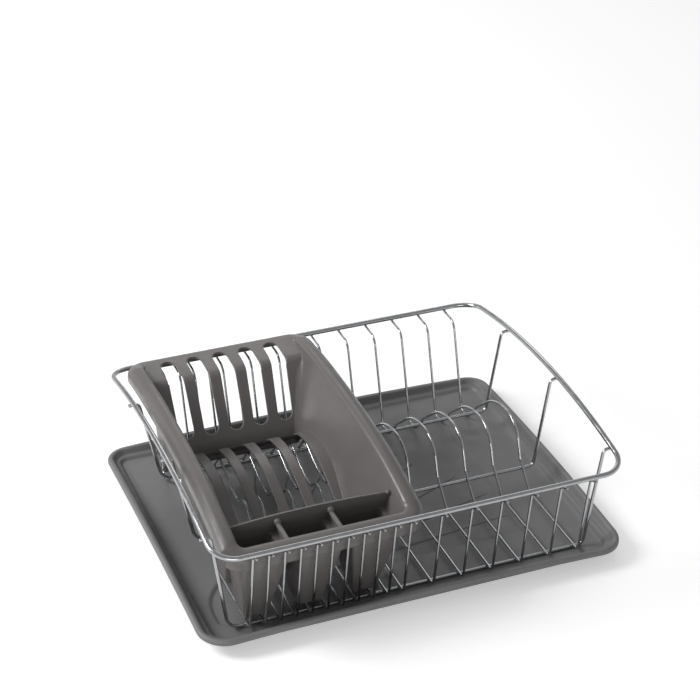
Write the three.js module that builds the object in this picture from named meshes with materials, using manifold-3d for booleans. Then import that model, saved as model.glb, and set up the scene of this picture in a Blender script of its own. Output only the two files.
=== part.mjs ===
// Dish drying rack in three layers: a drip tray, a welded wire basket and a moulded plate and cutlery caddy.
// Millimetres, +Z up. X runs along the rack, Y from its front to its back.
// The origin is on the ground, under the middle of the drip tray.

import * as THREE from 'three'
import Module from 'manifold-3d'
import { mergeVertices } from 'three/addons/utils/BufferGeometryUtils.js'

const wasm = await Module()
wasm.setup()

// ---------- driving dimensions ----------

const GAP = 0.2 // air left between pieces that touch or are welded

// drip tray
const TRAY_LENGTH = 508
const TRAY_DEPTH = 408
const TRAY_RADIUS_FRONT = 34
const TRAY_RADIUS_BACK = 26
const TRAY_RIM_Z = 21 // rim height at the corners
const TRAY_RIM_RISE_LONG = 5.5 // extra rim height halfway along the front and back
const TRAY_RIM_RISE_SHORT = 6 // extra rim height halfway along the two ends
const LEDGE_Z = 15 // narrow step between the rim and the floor
const FLOOR_Z = 8.6 // floor surface at the middle of the tray
const FLOOR_SLOPE = 0.016 // the floor rises to the back, so water runs to the front
const FLOOR_THICKNESS = 4
const PANEL_DEPTH = 1.8 // recess of the drain panel below the floor
const GROOVE_DEPTH = 1.3 // drain grooves below the panel
const FOOT_RADIUS = 11
const FOOT_X = 200
const FOOT_Y = 140

// wire basket, measured from the middle of its floor wires
const BASKET_REST_Z = 12
const RIM_LENGTH = 480 // centre line of the rim wire
const RIM_DEPTH = 412
const RIM_Z = 117.7 // rim height at the front, the back and the corners
const RIM_ARCH = 24.7 // the rim's two ends arch up by this much
const RIM_CORNER = 28
const RIM_RADIUS = 3
const RUNNER_RADIUS = 2
const WIRE_RADIUS = 1.5
const WIRE_FIRST_X = -195.6
const WIRE_PITCH = 18.04
const SAUCER_WIRES = 10 // close-set wires that carry saucers and the caddy
const PLATE_HOOPS = 7 // hoops that hold plates, at twice the pitch

// caddy, with X measured from the middle of its plate slots
const CADDY_REST_X = -105
const CADDY_LEFT = -98 // inner edge of the rim on the left
const CADDY_RIGHT = 96 // inner edge of the rim on the right
const CADDY_BACK = 186 // inner edge of the rim at the back
const CADDY_FRONT = -168 // inner edge of the rim at the front
const CADDY_CORNER = 8 // inner corner radius of the rim
const FLANGE = 20 // width of the rolled rim
const SHELL = 2.4 // wall thickness
const WALL_SETBACK = 0.25 // the side walls hang this far outside the rim's inner edge
const RIGHT_WALL_FOOT = 75 // inner face of the sloping right wall at the plate floor
const PLATE_FLOOR_Z = 57
const SHELF_Z = 84.5 // level where the three cutlery cups start
const SLOT_WIDTH = 16.4
const SLOT_PITCH = 32.6
const RIB_WIDTH = 12
const RIB_PITCH = 31.6
const CUT = 0.3 // width of the cuts that part the moulding into pieces
const FRONT_CUT_Y = -119.5 // just behind the cutlery cups
const FLOOR_CUT_Y = 104 // where the plate floor meets the back wall
const CUP_CUT_Z = 81.65 // just below the shelf that the cups hang from
const LEFT_CUP_CUT_X = -41.5
const RIGHT_CUP_CUT_X = 20.2

// ---------- materials ----------

const trayPlastic = new THREE.MeshStandardMaterial({ color: 0x666667, roughness: 0.6, metalness: 0 })
const caddyPlastic = new THREE.MeshStandardMaterial({ color: 0x787371, roughness: 0.45, metalness: 0 })
const chrome = new THREE.MeshStandardMaterial({ color: 0xc4c6c8, roughness: 0.12, metalness: 1 })

// ---------- general shapes ----------

// Turns any closed geometry into a solid that can be joined and cut.
function solid(geometry) {
  const bare = geometry.index ? geometry.clone() : geometry
  bare.deleteAttribute('normal')
  bare.deleteAttribute('uv')
  const merged = mergeVertices(bare, 1e-4)
  const vertProperties = new Float32Array(merged.attributes.position.array)
  const triVerts = new Uint32Array(merged.index.array)
  return new wasm.Manifold(new wasm.Mesh({ numProp: 3, vertProperties, triVerts }))
}

// Turns a solid back into a geometry.
function geometryOf(manifold) {
  const mesh = manifold.getMesh()
  const points = []
  for (let i = 0; i < mesh.numVert; i += 1) {
    points.push(new THREE.Vector3().fromArray(mesh.vertProperties, mesh.numProp * i))
  }
  const geometry = new THREE.BufferGeometry().setFromPoints(points)
  geometry.setIndex(Array.from(mesh.triVerts))
  geometry.computeVertexNormals()
  return geometry
}

// Positive when the triangles face outward.
function signedVolume(points, index) {
  let volume = 0
  for (let i = 0; i < index.length; i += 3) {
    const [a, b, c] = [points[index[i]], points[index[i + 1]], points[index[i + 2]]]
    volume += a.dot(new THREE.Vector3().crossVectors(b, c)) / 6
  }
  return volume
}

// Skin over a row of rings that all have the same number of points.
// A closed row is a loop like a torus; an open row gets a flat cap at each end.
function loft(rings, closed = false) {
  const count = rings[0].length
  const points = rings.flat()
  const index = []
  const spans = closed ? rings.length : rings.length - 1
  for (let r = 0; r < spans; r += 1) {
    const here = r * count
    const next = ((r + 1) % rings.length) * count
    for (let i = 0; i < count; i += 1) {
      const j = (i + 1) % count
      index.push(here + i, here + j, next + j, here + i, next + j, next + i)
    }
  }
  if (!closed) {
    for (const [ring, first, flip] of [[rings[0], 0, true], [rings.at(-1), spans * count, false]]) {
      const middle = new THREE.Vector3()
      ring.forEach((p) => middle.addScaledVector(p, 1 / count))
      points.push(middle)
      for (let i = 0; i < count; i += 1) {
        const a = first + i
        const b = first + ((i + 1) % count)
        index.push(points.length - 1, flip ? b : a, flip ? a : b)
      }
    }
  }
  const geometry = new THREE.BufferGeometry().setFromPoints(points)
  geometry.setIndex(signedVolume(points, index) > 0 ? index : index.toReversed())
  geometry.computeVertexNormals()
  return geometry
}

// Extrusions of an outline along one axis, between two positions.
function extrude(outline, length) {
  const shape = new THREE.Shape(outline.map(([u, v]) => new THREE.Vector2(u, v)))
  return new THREE.ExtrudeGeometry(shape, { depth: length, bevelEnabled: false })
}

function prismX(outlineYZ, x0, x1) {
  const geometry = extrude(outlineYZ, x1 - x0)
  const turn = new THREE.Matrix4().set(0, 0, 1, x0, 1, 0, 0, 0, 0, 1, 0, 0, 0, 0, 0, 1)
  return geometry.applyMatrix4(turn)
}

function prismY(outlineXZ, y0, y1) {
  const geometry = extrude(outlineXZ, y1 - y0)
  const turn = new THREE.Matrix4().set(1, 0, 0, 0, 0, 0, -1, y1, 0, 1, 0, 0, 0, 0, 0, 1)
  return geometry.applyMatrix4(turn)
}

function prismZ(outlineXY, z0, z1) {
  return extrude(outlineXY, z1 - z0).translate(0, 0, z0)
}

// Moves every vertex of a geometry by a rule.
function bend(geometry, rule) {
  const position = geometry.attributes.position
  const point = new THREE.Vector3()
  for (let i = 0; i < position.count; i += 1) {
    point.fromBufferAttribute(position, i)
    rule(point)
    position.setXYZ(i, point.x, point.y, point.z)
  }
  return geometry
}

function arc(cx, cy, radius, fromDegrees, toDegrees, steps) {
  const points = []
  for (let i = 0; i <= steps; i += 1) {
    const angle = THREE.MathUtils.degToRad(fromDegrees + ((toDegrees - fromDegrees) * i) / steps)
    points.push([cx + radius * Math.cos(angle), cy + radius * Math.sin(angle)])
  }
  return points
}

// Straight-line lookup in a table of [position, value] rows, sorted by falling position.
function lookup(table, position) {
  if (position >= table[0][0]) {
    return table[0][1]
  }
  for (let i = 1; i < table.length; i += 1) {
    const [p0, v0] = table[i - 1]
    const [p1, v1] = table[i]
    if (position >= p1) {
      return v1 + ((v0 - v1) * (position - p1)) / (p0 - p1)
    }
  }
  return table.at(-1)[1]
}

// ---------- bent wires ----------

// A wire with straight runs and round bends: corners are [point, bend radius].
class BentWire extends THREE.Curve {
  constructor(corners, stepDegrees = 22) {
    super()
    this.stations = []
    this.headings = []
    const last = corners.length - 1
    corners.forEach(([corner, radius], i) => {
      if (i === 0 || i === last) {
        const other = corners[i === 0 ? 1 : last - 1][0]
        const heading = other.clone().sub(corner).normalize()
        this.add(corner.clone(), i === 0 ? heading : heading.negate())
        return
      }
      const into = corner.clone().sub(corners[i - 1][0]).normalize()
      const out = corners[i + 1][0].clone().sub(corner).normalize()
      const angle = into.angleTo(out)
      const start = corner.clone().addScaledVector(into, -radius * Math.tan(angle / 2))
      const inward = out.clone().addScaledVector(into, -out.dot(into)).normalize()
      const steps = Math.max(1, Math.round(THREE.MathUtils.radToDeg(angle) / stepDegrees))
      for (let k = 0; k <= steps; k += 1) {
        const a = (angle * k) / steps
        const point = start.clone().addScaledVector(into, radius * Math.sin(a))
        point.addScaledVector(inward, radius * (1 - Math.cos(a)))
        const heading = into.clone().multiplyScalar(Math.cos(a)).addScaledVector(inward, Math.sin(a))
        this.add(point, heading.normalize())
      }
    })
  }

  add(point, heading) {
    this.stations.push(point)
    this.headings.push(heading)
  }

  getPointAt(u) {
    return this.stations[Math.round(u * (this.stations.length - 1))].clone()
  }

  getTangentAt(u) {
    return this.headings[Math.round(u * (this.stations.length - 1))].clone()
  }
}

function wire(corners, radius, sides, stepDegrees) {
  const path = new BentWire(corners, stepDegrees)
  const section = new THREE.Shape(
    arc(0, 0, radius, 0, 360 - 360 / sides, sides - 1).map(([u, v]) => new THREE.Vector2(u, v)),
  )
  return new THREE.ExtrudeGeometry(section, {
    steps: path.stations.length - 1,
    extrudePath: path,
    bevelEnabled: false,
  })
}

// ---------- wire basket ----------

function rimHeight(y) {
  return RIM_Z + RIM_ARCH * (1 - (2 * y / RIM_DEPTH) ** 2)
}

// The rim is one wire, butt-welded into a rounded rectangle whose two ends arch up.
function rimWire() {
  const halfX = RIM_LENGTH / 2
  const halfY = RIM_DEPTH / 2
  const straight = halfY - RIM_CORNER
  const plan = []
  for (const [sx, sy, from] of [[1, 1, 0], [-1, 1, 90], [-1, -1, 180], [1, -1, 270]]) {
    plan.push(...arc(sx * (halfX - RIM_CORNER), sy * straight, RIM_CORNER, from, from + 90, 5))
    if (sx * sy < 0) {
      const side = sx * halfX
      for (let i = 1; i < 8; i += 1) {
        plan.push([side, sy * straight * (1 - i / 4)])
      }
    }
  }
  const path = plan.map(([x, y]) => {
    const onFront = Math.abs(x) < halfX - RIM_CORNER + 0.01
    return new THREE.Vector3(x, y, onFront ? RIM_Z : rimHeight(y))
  })
  const rings = path.map((point, i) => {
    const before = path.at(i - 1)
    const after = path[(i + 1) % path.length]
    const heading = after.clone().sub(before).normalize()
    const across = new THREE.Vector3().crossVectors(heading, new THREE.Vector3(0, 0, 1)).normalize()
    const upward = new THREE.Vector3().crossVectors(across, heading)
    return arc(0, 0, RIM_RADIUS, 0, 315, 7).map(([u, v]) => (
      point.clone().addScaledVector(across, u).addScaledVector(upward, v)
    ))
  })
  return loft(rings, true)
}

// A cross wire lies in one plane; its bends are [y, z, bend radius].
function crossWire(bends) {
  const corners = bends.map(([y, z, radius]) => [new THREE.Vector3(0, y, z), radius])
  return wire(corners, WIRE_RADIUS, 6, 34)
}

const UNDER_RIM_Z = RIM_Z - RIM_RADIUS - WIRE_RADIUS - GAP
const backWallBends = [[208.5, UNDER_RIM_Z, 0], [176, UNDER_RIM_Z, 7], [143.5, 2.3, 6]]
const frontWallBends = [[-54.6, 0, 14], [-178, 0, 6], [-195, 107, 6], [-208.5, UNDER_RIM_Z - 0.3, 0]]

// Saucer wires dip behind a low ridge; plate hoops rise in one tall arch.
const saucerBends = [
  ...backWallBends,
  [125, 0.2, 4],
  [86.5, 45.2, 10],
  [44, 30, 100],
  [16.5, 25, 6],
  [3.5, 40.4, 7],
  [-14.3, 40.3, 9],
  ...frontWallBends,
]
const hoopBends = [
  ...backWallBends,
  [125, 0.2, 4],
  [100, 29.7, 40],
  [49, 73.3, 80],
  [-9, 74.3, 35],
  [-25, 29.6, 8],
  ...frontWallBends,
]

// Runners are long wires under the cross wires. Their ends rise and hook outward under the rim.
function runner(y, z, leftFoot, rightFoot, hookCorner) {
  const hookZ = rimHeight(y) - RIM_RADIUS - RUNNER_RADIUS - GAP
  const at = (x, height, radius) => [new THREE.Vector3(x, y, height), radius]
  return wire(
    [
      at(-244.5, hookZ, 0),
      at(-hookCorner, hookZ, 6),
      at(leftFoot, z, 7),
      at(rightFoot, z, 7),
      at(hookCorner, hookZ, 6),
      at(244.5, hookZ, 0),
    ],
    RUNNER_RADIUS,
    8,
    30,
  )
}

// ---------- drip tray ----------

function floorZ(y) {
  return FLOOR_Z + FLOOR_SLOPE * y
}

function trayRimZ(x, y) {
  const long = 1 - (2 * x / TRAY_LENGTH) ** 2
  const short = 1 - (2 * y / TRAY_DEPTH) ** 2
  return TRAY_RIM_Z + TRAY_RIM_RISE_LONG * Math.max(0, long) + TRAY_RIM_RISE_SHORT * Math.max(0, short)
}

// Plan outline of the tray, drawn in by a given inset, always with the same number of points.
function trayOutline(inset) {
  const points = []
  const halfX = TRAY_LENGTH / 2
  const halfY = TRAY_DEPTH / 2
  for (const [sx, sy, from] of [[1, 1, 0], [-1, 1, 90], [-1, -1, 180], [1, -1, 270]]) {
    const radius = sy > 0 ? TRAY_RADIUS_BACK : TRAY_RADIUS_FRONT
    const corner = arc(sx * (halfX - radius), sy * (halfY - radius), radius - inset, from, from + 90, 5)
    points.push(...corner)
    const [x0, y0] = corner.at(-1)
    const nextSx = sy > 0 ? -1 : 1
    const nextSy = sx > 0 ? 1 : -1
    const nextRadius = nextSy > 0 ? TRAY_RADIUS_BACK : TRAY_RADIUS_FRONT
    const alongX = from === 0 || from === 180
    const x1 = alongX ? nextSx * (halfX - nextRadius) : x0
    const y1 = alongX ? y0 : nextSy * (halfY - nextRadius)
    for (let i = 1; i < 4; i += 1) {
      points.push([x0 + ((x1 - x0) * i) / 4, y0 + ((y1 - y0) * i) / 4])
    }
  }
  return points
}

function dripTray() {
  const outer = trayOutline(0)
  // Each row is an inset and a height as a function of the rim height and the floor height there.
  const top = [
    [0, (rim) => rim - 5.8],
    [0, (rim) => rim - 3],
    [1, (rim) => rim - 0.9],
    [3, (rim) => rim],
    [5.5, (rim) => rim - 0.3],
    [7, (rim) => rim - 1.8],
    [9, () => LEDGE_Z + 1.5],
    [10.5, () => LEDGE_Z + 0.4],
    [13.5, () => LEDGE_Z],
    [15.3, () => LEDGE_Z - 1.2],
    [17.5, (rim, floor) => floor + 1.4],
    [20, (rim, floor) => floor + 0.3],
    [23, (rim, floor) => floor],
  ]
  const under = [
    [2.4, (rim) => rim - 5.8],
    [2.4, (rim) => rim - 3.6],
    [3.4, (rim) => rim - 2.5],
    [4.6, (rim) => rim - 3.2],
    [6.4, () => LEDGE_Z + 0.2],
    [8.8, () => LEDGE_Z - 2.2],
    [12, () => LEDGE_Z - 2.7],
    [15, (rim, floor) => Math.min(LEDGE_Z - 3.6, floor + 0.2)],
    [18.5, (rim, floor) => floor - 2.4],
    [23, (rim, floor) => floor - FLOOR_THICKNESS],
  ]
  const ring = ([inset, height]) => trayOutline(inset).map(([x, y], i) => (
    new THREE.Vector3(x, y, height(trayRimZ(...outer[i]), floorZ(y)))
  ))
  const rings = [...under.map(ring).reverse(), ...top.map(ring)]
  let tray = solid(loft(rings))

  for (const [x, y] of [[0, 0], [FOOT_X, FOOT_Y], [-FOOT_X, FOOT_Y], [FOOT_X, -FOOT_Y], [-FOOT_X, -FOOT_Y]]) {
    const height = floorZ(y) - FLOOR_THICKNESS + 1
    const foot = new THREE.CylinderGeometry(FOOT_RADIUS + 1, FOOT_RADIUS, height, 16)
    foot.rotateX(Math.PI / 2).translate(x, y, height / 2)
    tray = tray.add(solid(foot))
  }

  const incline = (p) => {
    p.z += floorZ(p.y)
  }
  const panel = [
    ...arc(158, 126, 10, 0, 90, 3),
    ...arc(-154, 118, 16, 90, 170, 3),
    [-167, -21],
    [-168, -48],
    [-175, -64],
    [-193, -76],
    [-212, -97],
    [-221, -119],
    [-222, -150],
    [-205, -163],
    [-165, -168],
    [-138, -151],
    [-122, -132],
    [-98, -116],
    ...arc(158, -103, 10, 270, 360, 3),
  ]
  tray = tray.subtract(solid(bend(prismZ(panel, -PANEL_DEPTH, 8), incline)))

  // Nine drain grooves fan out from the drain corner, each tapering to a point.
  const grooves = [
    [-152, -55, -130, 124],
    [-124, 6, -85, 123],
    [-119, -35, -52, 94],
    [-82, -10, 11, 111],
    [-126, -85, 34, 62],
    [-47, -39, 99, 61],
    [-75, -73, 135, 16],
    [-27, -76, 158, -29],
    [-96, -105, 161, -78],
  ]
  for (const [x0, y0, x1, y1] of grooves) {
    const length = Math.hypot(x1 - x0, y1 - y0)
    const [nx, ny] = [-(y1 - y0) / length, (x1 - x0) / length]
    const wedge = [
      [x0 - 2 * nx, y0 - 2 * ny],
      [x1 - 0.5 * nx, y1 - 0.5 * ny],
      [x1 + 0.5 * nx, y1 + 0.5 * ny],
      [x0 + 2 * nx, y0 + 2 * ny],
    ]
    tray = tray.subtract(solid(bend(prismZ(wedge, -PANEL_DEPTH - GROOVE_DEPTH, 8), incline)))
  }
  return geometryOf(tray)
}

// ---------- caddy ----------

// Height of the rim's inner edge along the two sides.
const sideRim = [
  [178, 131],
  [150, 133.6],
  [120, 135.4],
  [90, 136],
  [60, 135.9],
  [30, 135.2],
  [0, 134],
  [-30, 132],
  [-60, 129.3],
  [-90, 125.5],
  [-120, 119.5],
  [-145, 113.5],
  [-160, 109.5],
  [-168, 103],
]
const BACK_RIM_Z = 126
const FRONT_RIM_Z = 102.5

// Arched plate floor, from the back wall down to the cutlery cups.
const plateFloor = [
  [109, 35.5],
  [98, 48],
  [85, 57.5],
  [70, 62],
  [52, 65],
  [40, 65.5],
  [20, 64],
  [3, 60.5],
  [-22, 51],
  [-53, 38],
  [-84, 28.5],
  [-129, 26],
]

function rightWallX(y, z) {
  const rise = (z - PLATE_FLOOR_Z) / (lookup(sideRim, y) - PLATE_FLOOR_Z)
  return RIGHT_WALL_FOOT + (CADDY_RIGHT + WALL_SETBACK - RIGHT_WALL_FOOT) * rise
}

// Half-round rolled rim, all the way round the caddy.
function caddyRim() {
  const stations = []
  const corner = (cx, cy, from, heights) => {
    heights.forEach(([z, drop], i) => {
      const angle = THREE.MathUtils.degToRad(from + (90 * i) / (heights.length - 1))
      stations.push({ cx, cy, r: CADDY_CORNER, nx: Math.cos(angle), ny: Math.sin(angle), z, drop })
    })
  }
  const side = (x, nx, order) => {
    for (const [y, z] of order) {
      stations.push({ cx: x, cy: y, r: 0, nx, ny: 0, z, drop: sideDrop(y) })
    }
  }
  const sideDrop = (y) => 16 + Math.max(0, -y) * 0.019
  const along = sideRim.slice(1, -2)
  const backCorner = [[131, 16], [130, 14], [128.6, 10], [127.2, 6], [126.3, 4.8], [BACK_RIM_Z, 4.8]]
  const frontCorner = [[109.5, 18.6], [107.5, 16.4], [105.6, 14], [104, 12.2], [103, 11], [FRONT_RIM_Z, 10.5]]
  const [left, right] = [CADDY_LEFT + CADDY_CORNER, CADDY_RIGHT - CADDY_CORNER]
  const [back, front] = [CADDY_BACK - CADDY_CORNER, CADDY_FRONT + CADDY_CORNER]
  corner(right, back, 0, backCorner)
  corner(left, back, 90, backCorner.toReversed())
  side(CADDY_LEFT, -1, along)
  corner(left, front, 180, frontCorner)
  corner(right, front, 270, frontCorner.toReversed())
  side(CADDY_RIGHT, 1, along.toReversed())

  const rings = stations.map(({ cx, cy, r, nx, ny, z, drop }) => {
    const k = Math.min(1, drop / 14)
    const outer = [
      [0, 0],
      [4.5, 0.5],
      [10, -0.3 * k],
      [14.5, -2.6 * k],
      [18, -6 * k],
      [FLANGE - 0.4, -9 * k],
      [FLANGE, -drop],
    ]
    const inner = [
      [FLANGE - SHELL, -drop],
      [FLANGE - SHELL - 0.5, Math.max(-9.5 * k, -drop + 0.6)],
      [13.4, -4.8 * k - 0.8],
      [8.5, -2.2 - 0.4 * k],
      [0, -SHELL],
    ]
    return [...outer, ...inner].map(([out, up]) => (
      new THREE.Vector3(cx + nx * (r + out), cy + ny * (r + out), z + up)
    ))
  })
  return loft(rings, true)
}

// A side wall hangs from the rim. Its lower edge follows the plate floor and ends in a leg by the cups.
function caddySide(innerX, direction, rows) {
  const along = [
    [-68, -98],
    [-37, -63],
    [-9, -33],
    [12, -7],
    [30, 14],
    [46, 37],
    [61, 52],
    [78, 73],
    [92, 99],
  ]
  // Each row is the lower edge's y and z, then the upper edge's.
  const edge = [
    [-184.9, 83.3, -184.9, 92.4],
    [-180, 83.3, -180, 99.5],
    [-172, 83.3, -172, 104.3],
    [-160, 83.3, -160, 109],
    [-127, 83.3, -127, 117.2],
    [-126.6, 22, -126.6, 117.3],
    [-90, 22, -115, 120],
    ...along.map(([y0, y1]) => [y0, lookup(plateFloor, y0) - SHELL - 1.2, y1, lookup(sideRim, y1) - 0.6]),
    [105.9, 30.5, 136, 134],
    [148, 115.3, 148, 133.2],
    [151.6, 119.3, 152, 133],
    [156, 121.6, 157, 132.5],
    [178, 123.6, 178, 130.4],
    [190, 124.4, 186, 126],
  ]
  const inner = edge.map(([y0, z0, y1, z1]) => {
    const line = []
    for (let k = 0; k <= rows; k += 1) {
      const y = y0 + ((y1 - y0) * k) / rows
      const z = z0 + ((z1 - z0) * k) / rows
      line.push(new THREE.Vector3(innerX(y, z), y, z))
    }
    return line
  })
  const rings = inner.map((line) => {
    const outer = line.map((p) => new THREE.Vector3(p.x + direction * SHELL, p.y, p.z))
    return direction > 0 ? [...outer, ...line.toReversed()] : [...line, ...outer.toReversed()]
  })
  return loft(rings)
}

// Sets the right-hand end of a prism against the sloping right wall.
function meetRightWall(geometry) {
  return bend(geometry, (p) => {
    if (p.x > 0) {
      p.x = rightWallX(p.y, p.z) + SHELL / 2
    }
  })
}

function caddyBack() {
  const front = [[104.5, 30], [146.5, 115.5], [149.5, 120], [154, 122.8], [160, 123.8], [192, 125.8]]
  const behind = [[192, 123.3], [160, 121.3], [155.6, 120.4], [152.3, 118], [149.5, 114.6], [107.2, 30]]
  let sheet = solid(meetRightWall(prismX([...front, ...behind], CADDY_LEFT - SHELL / 2, 80)))
  for (let i = -2; i <= 2; i += 1) {
    const x = i * SLOT_PITCH
    const half = SLOT_WIDTH / 2
    const window = [...arc(x, 57 + half, half, 180, 360, 8), [x + half, 140], [x - half, 140]]
    sheet = sheet.subtract(solid(prismY(window, 100, 160)))
  }
  return sheet
}

// The slots run on over the shoulder, into the rolled rim.
function slotTops() {
  const cutters = []
  for (let i = -2; i <= 2; i += 1) {
    const x = i * SLOT_PITCH
    const half = SLOT_WIDTH / 2
    const window = [[x - half, 155], [x + half, 155], ...arc(x, 187, half, 0, 180, 8)]
    cutters.push(solid(prismZ(window, 110, 140)))
  }
  return cutters
}

function caddyFloor() {
  const underside = plateFloor.map(([y, z]) => [y, z - SHELL]).toReversed()
  let sheet = solid(meetRightWall(prismX([...plateFloor, ...underside], CADDY_LEFT - SHELL / 2, 70)))
  for (let i = -2; i <= 2; i += 1) {
    const x = (i - 0.5) * RIB_PITCH
    const half = (RIB_PITCH - RIB_WIDTH) / 2
    const opening = [[x - half, -115], [x + half, -115], [x + half, 96], [x - half, 96]]
    sheet = sheet.subtract(solid(prismZ(opening, 0, 90)))
  }
  return sheet
}

// Wall behind the cutlery, with a gently arched top.
function cutleryWall() {
  const left = CADDY_LEFT - SHELL - 0.05
  const outline = [
    [left, 21],
    [rightWallX(-129, 21) + 1, 21],
    [rightWallX(-129, 57) + 1, 57],
    [rightWallX(-129, 84) + 1, 84],
    [rightWallX(-129, 101) + 1, 101],
    [84, 103.6],
    [50, 105.6],
    [10, 106.6],
    [-30, 106.2],
    [-65, 104.6],
    [left, 102],
  ]
  return solid(prismY(outline, -130.3, -127.8))
}

// Cup rows are a height, the left and right faces there, and the front and back faces.
function cup(rows, inset, lift) {
  const rings = rows.map(([z, x0, x1, y0, y1], i) => {
    const radius = 4 - inset / 2
    const [left, right] = [x0 + inset + radius, x1 - inset - radius]
    const [front, back] = [y0 + inset + radius, y1 - inset - radius]
    const plan = [
      ...arc(right, back, radius, 0, 90, 2),
      ...arc(left, back, radius, 90, 180, 2),
      ...arc(left, front, radius, 180, 270, 2),
      ...arc(right, front, radius, 270, 360, 2),
    ]
    return plan.map(([x, y]) => new THREE.Vector3(x, y, z + (i === 0 ? lift : 0)))
  })
  return loft(rings)
}

const cupFronts = [
  { top: [-101, -47], bottom: [-92, -64], footed: true },
  { top: [-36, 15], bottom: [-28.5, 0.5], footed: false },
  { top: [25.2, 81.4], bottom: [36.4, 63.6], footed: true },
]

function cupRows({ top, bottom }, topZ) {
  const mix = (k) => [bottom[0] + (top[0] - bottom[0]) * k, bottom[1] + (top[1] - bottom[1]) * k]
  return [
    [4, ...bottom, -163, -129],
    [15, ...mix(0.137), -166.1, -120],
    [topZ, ...mix((topZ - 4) / 80.5), -186, -128.1],
  ]
}

// Short band below the rim, wrapping the two front corners.
function skirt() {
  const reach = CADDY_CORNER + FLANGE - 1.3
  const [left, right, front] = [CADDY_LEFT + CADDY_CORNER, CADDY_RIGHT - CADDY_CORNER, CADDY_FRONT + CADDY_CORNER]
  const path = (radius) => [
    ...arc(left, front, radius, 204, 270, 5),
    ...arc(right, front, radius, 270, 336, 5),
  ]
  const band = [...path(reach), ...path(reach - SHELL).toReversed()]
  return solid(prismZ(band, SHELF_Z - 1, 95.4))
}

function cutleryDivider(x) {
  const plate = prismX([[-185.4, 83.6], [-129, 83.6], [-129, 96], [-185.4, 93]], x - 1.1, x + 1.1)
  const rod = new THREE.CylinderGeometry(3, 3, 56.5, 8).translate(x, -157, 96)
  const knob = new THREE.SphereGeometry(3.8, 8, 6).rotateX(Math.PI / 2).translate(x, -131.6, 97.2)
  return solid(plate).add(solid(rod)).add(solid(knob))
}

function caddyMoulding() {
  const leftX = () => CADDY_LEFT - WALL_SETBACK
  let body = solid(caddyRim())
  body = body.add(solid(caddySide(leftX, -1, 1)))
  body = body.add(solid(caddySide(rightWallX, 1, 2)))
  body = body.add(caddyBack())
  slotTops().forEach((cutter) => {
    body = body.subtract(cutter)
  })
  body = body.add(caddyFloor())
  body = body.add(cutleryWall())
  body = body.add(skirt())

  const shelfRight = [-185.5, -168, -145, -128.4].map((y) => [rightWallX(y, SHELF_Z) + 0.9, y])
  const shelf = [[CADDY_LEFT - 1, -185.5], ...shelfRight, [CADDY_LEFT - 1, -128.4]]
  body = body.add(solid(prismZ(shelf, SHELF_Z - SHELL, SHELF_Z)))
  cupFronts.forEach((shape) => {
    body = body.add(solid(cup(cupRows(shape, SHELF_Z - 0.4), 0, 0)))
  })
  cupFronts.forEach((shape) => {
    body = body.subtract(solid(cup(cupRows(shape, SHELF_Z + 1), SHELL, SHELL)))
  })
  body = body.add(cutleryDivider(-41.5)).add(cutleryDivider(20.3))

  // Fins on the two outer cups run down into feet that stand on the floor wires.
  const fin = [[-156, 6], [-156, 1.8], [-163, 1.8], [-166, 5], [-171.3, 31], [-170, 31], [-164.6, 6]]
  cupFronts.filter((shape) => shape.footed).forEach(({ bottom }) => {
    for (const x of [bottom[0] + 1.4, bottom[1] - 1.4]) {
      body = body.add(solid(prismX(fin, x - 0.8, x + 0.8)))
    }
  })
  // Small tips under the back wall.
  for (const x of [CADDY_LEFT + 1, 53]) {
    const tip = [[104.5, 34], [104, 28], [106.5, 28], [109, 34]]
    body = body.add(solid(prismX(tip, x - 2, x + 2)))
  }
  const stop = new THREE.SphereGeometry(3, 8, 6).rotateX(Math.PI / 2)
  return body.add(solid(stop.translate(rightWallX(-129, 104) - 2.5, -130.8, 103.5)))
}

// Everything to one side of the sloping right wall's inner face, behind the cutlery.
function besideRightWall(offset, reach) {
  const rings = [FRONT_CUT_Y + CUT / 2, ...sideRim.map(([y]) => y).filter((y) => y > FRONT_CUT_Y).toReversed(), 300]
    .map((y) => [
      new THREE.Vector3(rightWallX(y, -10) + offset, y, -10),
      new THREE.Vector3(rightWallX(y, 200) + offset, y, 200),
      new THREE.Vector3(reach, y, 200),
      new THREE.Vector3(reach, y, -10),
    ])
  return solid(loft(rings))
}

// The moulding is drawn as eight pieces, parted by hair-thin cuts along its natural corners.
function caddyPieces() {
  const far = 300
  const gap = CUT / 2
  const block = (x0, x1, y0, y1, z0, z1) => solid(prismZ([[x0, y0], [x1, y0], [x1, y1], [x0, y1]], z0, z1))
  const leftCutX = CADDY_LEFT + 0.2
  const middle = besideRightWall(-0.6 - gap, leftCutX + gap)
  const cupBlock = (x0, x1) => block(x0, x1, -far, FRONT_CUT_Y - gap, -10, CUP_CUT_Z - gap)
  const regions = {
    caddy_left_side: block(-far, leftCutX - gap, FRONT_CUT_Y + gap, far, -10, 200),
    caddy_right_side: besideRightWall(-0.6 + gap, far),
    caddy_back_wall: middle.intersect(block(-far, far, FLOOR_CUT_Y + gap, far, -10, 200)),
    caddy_plate_floor: middle.intersect(block(-far, far, -far, FLOOR_CUT_Y - gap, -10, 200)),
    caddy_cutlery_shelf: block(-far, far, -far, FRONT_CUT_Y - gap, CUP_CUT_Z + gap, 200),
    caddy_cup_left: cupBlock(-far, LEFT_CUP_CUT_X - gap),
    caddy_cup_middle: cupBlock(LEFT_CUP_CUT_X + gap, RIGHT_CUP_CUT_X - gap),
    caddy_cup_right: cupBlock(RIGHT_CUP_CUT_X + gap, far),
  }
  const moulding = caddyMoulding()
  return Object.entries(regions).map(([name, region]) => [name, geometryOf(moulding.intersect(region))])
}

// ---------- assembly ----------

function piece(name, geometry, material) {
  const mesh = new THREE.Mesh(geometry, material)
  mesh.name = name
  return mesh
}

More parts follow.
